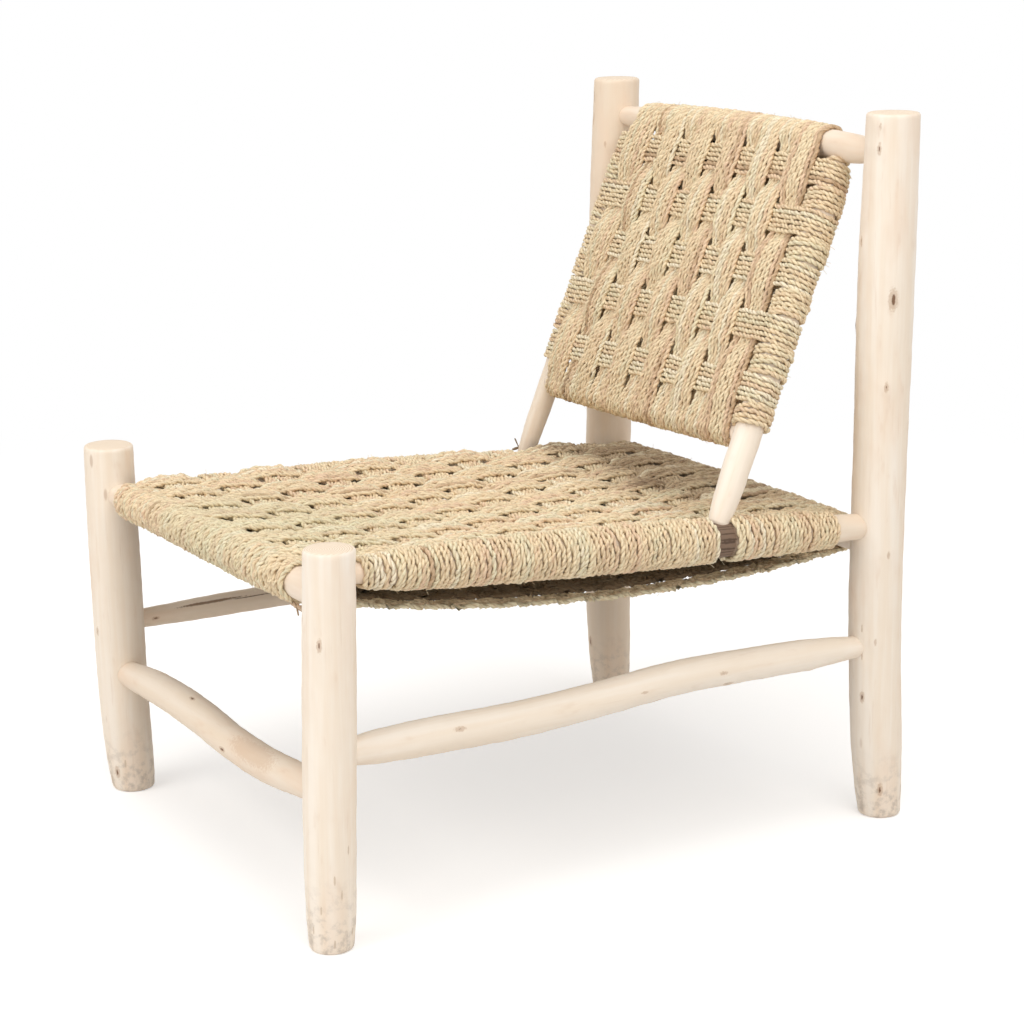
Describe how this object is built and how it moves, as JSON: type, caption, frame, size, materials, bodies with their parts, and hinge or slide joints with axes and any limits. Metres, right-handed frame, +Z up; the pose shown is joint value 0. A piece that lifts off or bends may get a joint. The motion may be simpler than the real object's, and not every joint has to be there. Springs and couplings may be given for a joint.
{
  "type": "lounge chair",
  "caption": "Low lounge chair of peeled wooden poles with round mortise-and-tenon joints; the seat and the reclined back are woven in flat bands of twisted palm rope",
  "frame": {"origin": "centre of the base of the bounding box, on the floor plane z = 0", "axes": "+Z up; -Y is the direction a sitter faces; +X is the sitter's left"},
  "size_m": [0.6191, 0.7616, 0.8],
  "materials": {
    "pole_wood": "peeled and sanded pale wood, unpainted, dry",
    "palm_rope": "two-ply twisted palm fibre rope, dry, matte"
  },
  "bodies": {
    "root": {"front_leg_left": "pole_wood", "front_leg_right": "pole_wood", "rear_post_left": "pole_wood", "rear_post_right": "pole_wood", "front_seat_rail": "pole_wood", "rear_seat_rail": "pole_wood", "side_seat_rail_left": "pole_wood", "side_seat_rail_right": "pole_wood", "front_stretcher": "pole_wood", "side_stretcher_left": "pole_wood", "side_stretcher_right": "pole_wood", "top_rail": "pole_wood", "back_lower_rail": "pole_wood", "back_upright_left": "pole_wood", "back_upright_right": "pole_wood", "seat_warp_band_01": "palm_rope", "seat_warp_band_02": "palm_rope", "seat_warp_band_03": "palm_rope", "seat_warp_band_04": "palm_rope", "seat_warp_band_05": "palm_rope", "seat_warp_band_06": "palm_rope", "seat_warp_band_07": "palm_rope", "seat_warp_band_08": "palm_rope", "seat_warp_band_09": "palm_rope", "seat_warp_band_10": "palm_rope", "seat_warp_band_11": "palm_rope", "seat_warp_band_12": "palm_rope", "seat_warp_band_13": "palm_rope", "seat_warp_band_14": "palm_rope", "seat_weft_band_01": "palm_rope", "seat_weft_band_02": "palm_rope", "seat_weft_band_03": "palm_rope", "seat_weft_band_04": "palm_rope", "seat_weft_band_05": "palm_rope", "seat_weft_band_06": "palm_rope", "seat_weft_band_07": "palm_rope", "seat_weft_band_08": "palm_rope", "seat_weft_band_09": "palm_rope", "seat_weft_band_10": "palm_rope", "back_warp_band_01": "palm_rope", "back_warp_band_02": "palm_rope", "back_warp_band_03": "palm_rope", "back_warp_band_04": "palm_rope", "back_warp_band_05": "palm_rope", "back_warp_band_06": "palm_rope", "back_warp_band_07": "palm_rope", "back_warp_band_08": "palm_rope", "back_warp_band_09": "palm_rope", "back_warp_band_10": "palm_rope", "back_warp_band_11": "palm_rope", "back_weft_band_1": "palm_rope", "back_weft_band_2": "palm_rope", "back_weft_band_3": "palm_rope", "back_weft_band_4": "palm_rope", "back_weft_band_5": "palm_rope", "seat_side_wrap_left": "palm_rope", "seat_side_wrap_right": "palm_rope", "back_side_wrap_left": "palm_rope", "back_side_wrap_right": "palm_rope"}
  },
  "joints": []
}
